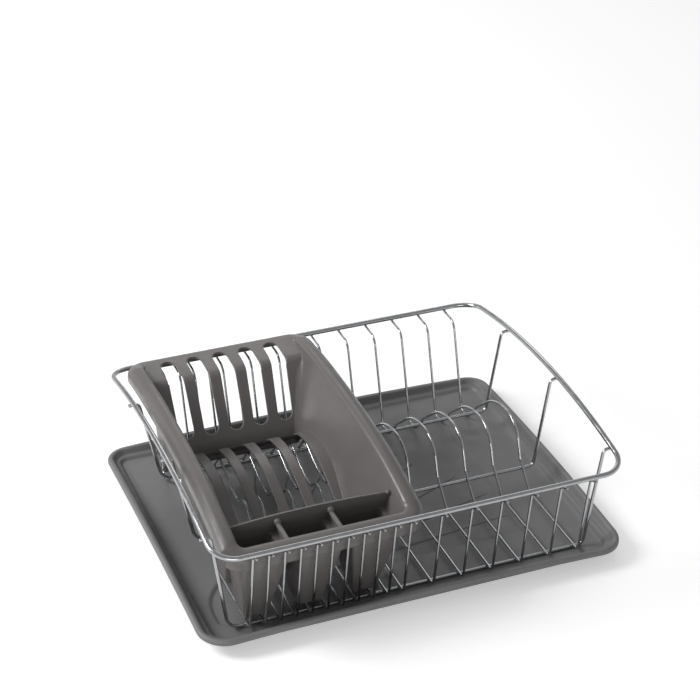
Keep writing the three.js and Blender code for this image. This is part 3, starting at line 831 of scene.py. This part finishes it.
def caddy_rim():
    """The rolled rim, half-round on top and hollow below, all the way round the caddy."""
    rings = []

    def station(x, y, radius, nx, ny, z, drop):
        ring = []
        for out, up in rim_section(nx, ny, z, drop):
            ring.append((x + nx * (radius + out), y + ny * (radius + out), z + up))
        rings.append(ring)

    def corner(cx, cy, start, rows):
        rows = spline(rows, 3)
        for i, (z, drop) in enumerate(rows):
            angle = math.radians(start + 90 * i / (len(rows) - 1))
            station(cx, cy, CADDY_CORNER, math.cos(angle), math.sin(angle), z, drop)

    def side(x, nx, rows):
        for y, z in rows:
            station(x, y, 0, nx, 0, z, LIP_DROP + max(0, -y) * LIP_DROP_GROWTH)

    along = spline(SIDE_RIM[1:-2], 4)
    # Round a corner, from a side to the back or the front: height of the crest and drop of the lip.
    back_rows = [(131, 16), (130, 13.4), (128.6, 10), (127.2, 7), (126.3, 5.3), (BACK_RIM_Z, 5.2)]
    front_rows = [
        (109.5, 18.6),
        (107.5, 16.4),
        (105.6, 14),
        (104, 12.2),
        (103, 11),
        (FRONT_RIM_Z, 10.5),
    ]
    left = CADDY_LEFT + CADDY_CORNER
    right = CADDY_RIGHT - CADDY_CORNER
    back = CADDY_BACK - CADDY_CORNER
    front = CADDY_FRONT + CADDY_CORNER
    corner(right, back, 0, back_rows)
    corner(left, back, 90, back_rows[::-1])
    side(CADDY_LEFT, -1, along)
    corner(left, front, 180, front_rows)
    corner(right, front, 270, front_rows[::-1])
    side(CADDY_RIGHT, 1, along[::-1])
    return skin(rings, loop=True)


def side_arch():
    """Rows of a side wall over the arch, where its lower edge follows the plate floor."""
    along = [
        (-68, -98),
        (-37, -63),
        (-9, -33),
        (12, -7),
        (30, 14),
        (46, 37),
        (61, 52),
        (78, 73),
        (92, 99),
    ]
    arch = []
    for low_y, high_y in spline(along, 4):
        low_z = lookup(SMOOTH_PLATE_FLOOR, low_y) - SHELL - 1.2
        high_z = lookup(SMOOTH_SIDE_RIM, high_y) - 4.8
        arch.append((low_y, low_z, high_y, high_z))
    return arch


def caddy_side(inner_x, direction, rows):
    """A side wall that hangs from the rim, with a leg down by the cups."""
    # From front to back: y and z of the lower edge, y and z of the upper edge inside the rim.
    edge = [
        (-184.9, BESIDE_CUPS_Z, -184.9, 92.4),
        (-180, BESIDE_CUPS_Z, -180, 96.5),
        (-172, BESIDE_CUPS_Z, -172, 100.3),
        (-160, BESIDE_CUPS_Z, -160, 104.7),
        (-127, BESIDE_CUPS_Z, -127, 113.2),
        (-126.6, 34, -126.6, 113.3),
        (-125.4, 31.2, -125.6, 113.5),
        (-122, LEG_FOOT_Z, -122.6, 114.2),
        (-92, LEG_FOOT_Z, -115, 116),
        *side_arch(),
        (105.9, 30.5, 136, 129.8),
        (148, 115.3, 148, 129),
        (151.6, 119.3, 152, 128.8),
        (156, 121.6, 157, 128.3),
        (178, 123.6, 178, 126.6),
        (190, 124.4, 186, 126),
    ]
    rings = []
    for y0, z0, y1, z1 in edge:
        line = []
        for k in range(rows + 1):
            y = y0 + (y1 - y0) * k / rows
            z = z0 + (z1 - z0) * k / rows
            line.append((inner_x(y, z), y, z))
        outer = [(x + direction * SHELL, y, z) for x, y, z in line]
        rings.append(line + outer[::-1])
    return skin(rings)


def slab_x(outline, left, right_x):
    """A prism along X from (y, z) points; its right end follows a rule."""
    near = [(left, y, z) for y, z in outline]
    far = [(right_x(y, z), y, z) for y, z in outline]
    return skin([near, far])


def plate_x(outline, left, right):
    """A prism along X from (y, z) points, with square ends."""
    return slab_x(outline, left, lambda y, z: right)


def slab_y(outline, y0, y1):
    """A prism along Y from (x, z) points."""
    return skin([[(x, y0, z) for x, z in outline], [(x, y1, z) for x, z in outline]])


def slab_z(outline, z0, z1):
    """An upright prism from (x, y) points."""
    return skin([[(x, y, z0) for x, y in outline], [(x, y, z1) for x, y in outline]])


def into_right_wall(y, z):
    """Middle of the right wall's thickness, where pieces that join it end."""
    return right_wall_x(y, z) + SHELL / 2


def caddy_back():
    """The leaning back wall and the shoulder that runs from its top into the rim."""
    bend = spline([BACK_WALL_TOP, (149.5, 120), (154, 122.8), (160, 123.8)], 4)
    front = [BACK_WALL_FOOT, *bend, (190.5, 126.42), (193, 126.2)]
    behind = [(192, 123.3), (160, 121.3), (155.6, 120.4), (152.3, 118), (149.5, 114.6), (107.2, 30)]
    return slab_x(front + behind, CADDY_LEFT - SHELL / 2, into_right_wall)


def shoulder_rib():
    """The low rib under the shoulder, just inside the basket's rim."""
    outline = [
        (194.2, 124.4),
        (196.4, 124.4),
        (196.4, 117.2),
        (195.9, 116.6),
        (194.7, 116.6),
        (194.2, 117.2),
    ]
    return plate_x(outline, CADDY_LEFT - 2, CADDY_RIGHT + 2)


# Rounded corners beside the back wall, from bottom to top: height and radius.
FILLET_ROWS = [
    (33, 5),
    (60, 6.5),
    (84, 7.5),
    (104, 8),
    (111, 7),
    (116, 4.5),
    (119.5, 1.5),
]


def corner_fillet(wall_x, side):
    """The rounded corner beside the back wall; side is 1 on the right and -1 on the left."""
    foot_y, foot_z = BACK_WALL_FOOT
    top_y, top_z = BACK_WALL_TOP
    sunk = 0.15
    rings = []
    for z, radius in FILLET_ROWS:
        y = foot_y + (top_y - foot_y) * (z - foot_z) / (top_z - foot_z) + sunk
        x = wall_x(y, z) + side * sunk
        hollow = [(x + side * (u - radius), y + v - radius) for u, v in arc(0, 0, radius, 0, 90, 6)]
        plan = [(x + side, y - radius), *hollow, (x - side * radius, y + 1), (x + side, y + 1)]
        rings.append([(*point, z) for point in plan])
    return skin(rings)


def slot_cutters():
    """Five long windows: down the back wall and on over the shoulder into the rim."""
    # The wall is cut along Y and the shoulder along Z; the two cuts meet in the bend between them.
    cutters = []
    half = SLOT_WIDTH / 2
    for i in range(-2, 3):
        foot = i * SLOT_FOOT_PITCH + SLOT_SHIFT
        x = i * SLOT_PITCH + SLOT_SHIFT
        down = [*arc(foot, SLOT_FOOT_Z + half, half, 180, 360, 20), (x + half, 140), (x - half, 140)]
        over = [(x - half, 149), (x + half, 149), *arc(x, SLOT_END_Y, half, 0, 180, 20)]
        cutters.append(slab_y(down, 100, 160))
        cutters.append(slab_z(over, 110, 140))
    return cutters


def caddy_floor():
    """The arched plate floor, still without its openings."""
    underside = [(y, z - SHELL) for y, z in reversed(SMOOTH_PLATE_FLOOR)]
    return slab_x(SMOOTH_PLATE_FLOOR + underside, CADDY_LEFT - SHELL / 2, into_right_wall)


def opening_cutters():
    """The five openings that leave the ribs of the plate floor; the last one is wider."""
    front, back, top = -115, 96, 70.5
    cutters = []
    half = (RIB_PITCH - RIB_WIDTH) / 2
    for i in range(-2, 3):
        x = (i - 0.5) * RIB_PITCH
        left = x - half
        right = x + half + (LAST_OPENING_EXTRA if i == 2 else 0)
        cutters.append(slab_z([(left, front), (right, front), (right, back), (left, back)], 0, top))
    return cutters


def ribbed_floor():
    """The plate floor with its openings, as vertices and faces."""
    ribs = mesh_object("ribs", caddy_floor())
    combine(ribs, opening_cutters(), "DIFFERENCE")
    vertices = [tuple(c / MM for c in vertex.co) for vertex in ribs.data.vertices]
    faces = [tuple(polygon.vertices) for polygon in ribs.data.polygons]
    bpy.data.objects.remove(ribs)
    return vertices, faces


def cutlery_wall():
    """Wall behind the cutlery, with a gently arched top."""
    left = CADDY_LEFT - SHELL - 0.05
    right = [(right_wall_x(CUTLERY_WALL_Y, z) + 1, z) for z in (LEG_FOOT_Z, 57, 84, 101)]
    crest = spline([(84, 103.6), (50, 105.6), (10, 106.6), (-30, 106.2), (-65, 104.6), (left, 102)], 4)
    outline = [(left, LEG_FOOT_Z), *right, *crest]
    return slab_y(outline, CUTLERY_WALL_Y - 1.3, CUTLERY_WALL_Y + 1.2)


def cutlery_shelf():
    """The flat shelf round the mouths of the cups."""
    left = CADDY_LEFT - 1
    right = [(right_wall_x(y, SHELF_Z) + 0.9, y) for y in (SHELF_FRONT, -168, -145, SHELF_BACK)]
    return slab_z([(left, SHELF_FRONT), *right, (left, SHELF_BACK)], SHELF_Z - SHELL, SHELF_Z)


# Each cup, from the left: left and right x at its mouth, the same at its bottom, and if it has fins.
CUPS = [
    ((-101, -47), (-92, -64), True),
    ((-36, 15), (-28.5, 0.5), False),
    ((25.2, 81.4), (36.4, 63.6), True),
]


def cup(top, bottom, top_z, inset, lift):
    """One cutlery cup, tapering down, drawn in by an inset and with its bottom raised by a lift."""

    def mix(k):
        return [b + (t - b) * k for t, b in zip(top, bottom)]

    # Each row is z, x on the left and right, y in front and at the back.
    rows = [
        (CUP_BOTTOM_Z, *bottom, -163, -129),
        (15, *mix(0.137), -166.1, -120),
        (top_z, *mix((top_z - CUP_BOTTOM_Z) / (SHELF_Z - CUP_BOTTOM_Z)), -186, -128.1),
    ]
    rings = []
    for i, (z, x0, x1, y0, y1) in enumerate(rows):
        radius = CUP_CORNER - inset / 2
        left = x0 + inset + radius
        right = x1 - inset - radius
        front = y0 + inset + radius
        back = y1 - inset - radius
        plan = [
            *arc(right, back, radius, 0, 90, 6),
            *arc(left, back, radius, 90, 180, 6),
            *arc(left, front, radius, 180, 270, 6),
            *arc(right, front, radius, 270, 360, 6),
        ]
        rings.append([(x, y, z + (lift if i == 0 else 0)) for x, y in plan])
    return skin(rings)


def skirt():
    """Short band below the rim, wrapping the two front corners."""
    reach = CADDY_CORNER + FLANGE - 1.3
    left = CADDY_LEFT + CADDY_CORNER
    right = CADDY_RIGHT - CADDY_CORNER
    front = CADDY_FRONT + CADDY_CORNER

    def path(radius):
        return [*arc(left, front, radius, 204, 270, 14), *arc(right, front, radius, 270, 336, 14)]

    return slab_z(path(reach) + path(reach - SHELL)[::-1], SHELF_Z - 1, SKIRT_TOP_Z)


def divider(x):
    """A low wall between two cups, with a rod along its top and a knob at its back end."""
    front, back, foot = -185.4, CUTLERY_WALL_Y, 83.6
    outline = [(front, foot), (back, foot), (back, DIVIDER_TOP_Z), (front, DIVIDER_TOP_Z - 3)]
    plate = plate_x(outline, x - 1.1, x + 1.1)
    circle = arc(0, 0, 3, 0, 345, 23)
    rod = skin([[(x + u, y, DIVIDER_TOP_Z + v) for u, v in circle] for y in (-185.2, -128.8)])
    knob = bead((x, -132.2, 98), (4.8, 4.8, 4.8))
    return [plate, rod, knob]


# (y, z) round a fin under a cup and round the foot tip of the back wall.
FIN = [
    (-156, 6),
    (-156.6, 2.6),
    (-158.5, 1.8),
    (-162, 1.8),
    (-164.4, 2.8),
    (-166, 5),
    (-171.3, 31),
    (-170, 31),
    (-164.6, 6),
]
FOOT_TIP = [(104.5, 34), (104, 28), (106.5, 28), (109, 34)]


def cup_fins():
    """Two small fins under each footed cup, on which the caddy stands."""
    fins = []
    for _, (left, right), footed in CUPS:
        if footed:
            fins += [plate_x(FIN, x - 1.2, x + 1.2) for x in (left + 1.4, right - 1.4)]
    return fins


def small_marks():
    """Tips at the foot of the back wall, a knob on the cutlery wall and nubs at the skirt's ends."""
    tips = [plate_x(FOOT_TIP, x - 2, x + 2) for x in (CADDY_LEFT + 1, 53)]
    knob = bead((right_wall_x(CUTLERY_WALL_Y, 104) - 2.5, -130.8, 103.5), (3, 3, 3))
    nub_places = (CADDY_LEFT - 15.6, CADDY_RIGHT + 15.6)
    nubs = [bead((x, -170.2, 90.6), (2.6, 2.4, 3)) for x in nub_places]
    return [*tips, knob, *nubs]


CADDY_NODES = [
    "caddy_left_side",
    "caddy_right_side",
    "caddy_back_wall",
    "caddy_plate_floor",
    "caddy_cutlery_shelf",
    "caddy_cup_left",
    "caddy_cup_middle",
    "caddy_cup_right",
]


def build_caddy():
    """The caddy: walls joined to the rim, then openings, floor, shelf, cups and details."""
    walls = [
        caddy_side(left_wall_x, -1, 1),
        caddy_side(right_wall_x, 1, 3),
        caddy_back(),
        shoulder_rib(),
        corner_fillet(lambda y, z: CADDY_LEFT, -1),
        corner_fillet(right_wall_x, 1),
    ]
    # The cups end just under the shelf's top, and their hollows cut through it.
    outsides = [cup(top, bottom, SHELF_Z - 0.4, 0, 0) for top, bottom, _ in CUPS]
    hollows = [cup(top, bottom, SHELF_Z + 1, SHELL, SHELL) for top, bottom, _ in CUPS]
    dividers = [shape for x in DIVIDER_PLACES for shape in divider(x)]
    caddy = mesh_object("moulded_caddy", caddy_rim())
    combine(caddy, walls, "UNION")
    combine(caddy, slot_cutters(), "DIFFERENCE")
    combine(caddy, [ribbed_floor(), cutlery_wall(), skirt(), cutlery_shelf()], "UNION")
    combine(caddy, outsides, "UNION")
    combine(caddy, hollows, "DIFFERENCE")
    combine(caddy, [*dividers, *cup_fins(), *small_marks()], "UNION")
    caddy.data.transform(Matrix.Translation(Vector((CADDY_X, 0, BASKET_Z)) * MM))
    finish_piece(caddy, "caddy", CADDY_PLASTIC, CADDY_NODES, smooth_angle=32)


# ---------- wire basket ----------

# Weld beads of a cross wire, on the front runner and under both long sides of the rim:
# y, z and the three half-widths.
WELD_BEADS = [
    (-165, -1.65, (1.5, 1.8, 0.8)),
    (205, UNDER_RIM_Z + 1.5, (1.4, 1.7, 0.6)),
    (-205, UNDER_RIM_Z + 1.3, (1.4, 1.7, 0.6)),
]


def cross_wire_rows():
    """Name, x and bends of every cross wire, from left to right."""
    rows = []
    for i in range(SAUCER_WIRES):
        x = WIRE_FIRST_X + i * WIRE_PITCH
        rows.append((f"saucer_wire_{i + 1:02d}", x, SAUCER_BENDS))
    for i in range(PLATE_HOOPS):
        x = WIRE_FIRST_X + (SAUCER_WIRES + 2 * i) * WIRE_PITCH
        rows.append((f"plate_hoop_{i + 1:02d}", x, HOOP_BENDS))
    return rows


def build_basket():
    """Every wire of the basket and, as one piece, the weld beads where wires cross."""
    chrome_piece("chrome_rim_wire", rim_wire(), ["rim_wire"])
    for name, row in RUNNERS.items():
        chrome_piece("chrome_" + name, runner(*row), [name])
    beads = []
    for name, x, bends in cross_wire_rows():
        chrome_piece("chrome_" + name, cross_wire(x, bends), [name])
        beads += [bead((x, y, z), size) for y, z, size in WELD_BEADS]
    chrome_piece("weld_beads", joined(beads), [])


# ---------- studio, in metres ----------

FLAT_REACH = 8.4
SWEEP_RADIUS = 3.6


def seen_rays(tree, strength):
    """A strength that only the camera, reflections and clear materials see; it lights nothing."""
    ray = add_node(tree, "ShaderNodeLightPath", (-900, -700))
    total = ray.outputs["Is Camera Ray"]
    for i, kind in enumerate(("Is Glossy Ray", "Is Transmission Ray")):
        join = add_node(tree, "ShaderNodeMath", (-700 + 200 * i, -700), operation="MAXIMUM")
        tree.links.new(total, join.inputs[0])
        tree.links.new(ray.outputs[kind], join.inputs[1])
        total = join.outputs[0]
    scale = add_node(tree, "ShaderNodeMath", (-200, -700), operation="MULTIPLY")
    tree.links.new(total, scale.inputs[0])
    scale.inputs[1].default_value = strength
    return scale.outputs[0]


def build_floor():
    """A plain pale floor that rises into a soft sweep far away on every side."""
    material, tree, shader = new_material("pale_floor")
    shader.inputs["Base Color"].default_value = (*FLOOR_COLOUR, 1)
    shader.inputs["Roughness"].default_value = 0.9
    shader.inputs["Specular IOR Level"].default_value = 0.1
    shader.inputs["Emission Color"].default_value = (1, 1, 1, 1)
    tree.links.new(seen_rays(tree, FLOOR_GLOW), shader.inputs["Emission Strength"])
    rows = [(0.02, 0), (1, 0), (3, 0), (FLAT_REACH, 0)]
    for angle in (0.3, 0.6, 0.9, 1.2, 1.5):
        reach = FLAT_REACH + SWEEP_RADIUS * math.sin(angle)
        rows.append((reach, SWEEP_RADIUS * (1 - math.cos(angle))))
    rings = [[(*point, z) for point in arc(0, 0, reach, 0, 354, 59)] for reach, z in rows]
    vertices, faces = skin(rings)
    mesh = bpy.data.meshes.new("floor")
    mesh.from_pydata(vertices, [], faces[:-1])
    mesh.shade_smooth()
    mesh.materials.append(material)
    floor = bpy.data.objects.new("floor", mesh)
    bpy.context.scene.collection.objects.link(floor)


def build_world(strength):
    """An even white world."""
    world = bpy.data.worlds.new("studio")
    world.use_nodes = True
    background = world.node_tree.nodes["Background"]
    background.inputs["Color"].default_value = (1, 1, 1, 1)
    background.inputs["Strength"].default_value = strength
    bpy.context.scene.world = world


# Each lamp is its name, place, aim, size in metres and power in watts.
LAMPS = [
    ("key", (-2.1, 0.8, 1.75), (0, 0, 0.1), (1.1, 1.1), 62),
    ("back", (0.7, 2.1, 1.6), (0, 0, 0.15), (1.4, 0.8), 6),
    ("fill", (-1.0, -2.5, 0.6), (0, 0, 0.1), (1.6, 0.6), 15),
]


def soft_box(name, place, aim, size, power):
    """A rectangular area lamp that faces its aim."""
    data = bpy.data.lights.new(name, "AREA")
    data.shape = "RECTANGLE"
    data.size, data.size_y = size
    data.energy = power
    lamp = bpy.data.objects.new(name, data)
    lamp.location = place
    lamp.rotation_euler = (Vector(aim) - Vector(place)).to_track_quat("-Z", "Y").to_euler()
    bpy.context.scene.collection.objects.link(lamp)


# The photograph's camera: place in metres, angles in degrees, lens and sensor in millimetres.
CAMERA_PLACE = (-0.7128, -1.7573, 1.3331)
CAMERA_TURN = 21.801
CAMERA_PITCH = 30.361
CAMERA_ROLL = 0.326
CAMERA_LENS = 99.86
CAMERA_SENSOR = 36


def build_camera():
    """The camera that the photograph was solved to."""
    data = bpy.data.cameras.new("camera")
    data.lens = CAMERA_LENS
    data.sensor_width = CAMERA_SENSOR
    camera = bpy.data.objects.new("camera", data)
    camera.location = CAMERA_PLACE
    turn = Matrix.Rotation(math.radians(-CAMERA_TURN), 3, "Z")
    tilt = Matrix.Rotation(math.radians(90 - CAMERA_PITCH), 3, "X")
    roll = Matrix.Rotation(math.radians(CAMERA_ROLL), 3, "Z")
    camera.rotation_euler = (turn @ tilt @ roll).to_euler()
    bpy.context.scene.collection.objects.link(camera)
    bpy.context.scene.camera = camera


build_camera()
build_tray()
build_basket()
build_caddy()
build_floor()
build_world(WORLD_STRENGTH)
for lamp_row in LAMPS:
    soft_box(*lamp_row)
bpy.context.scene.view_settings.view_transform = "Standard"
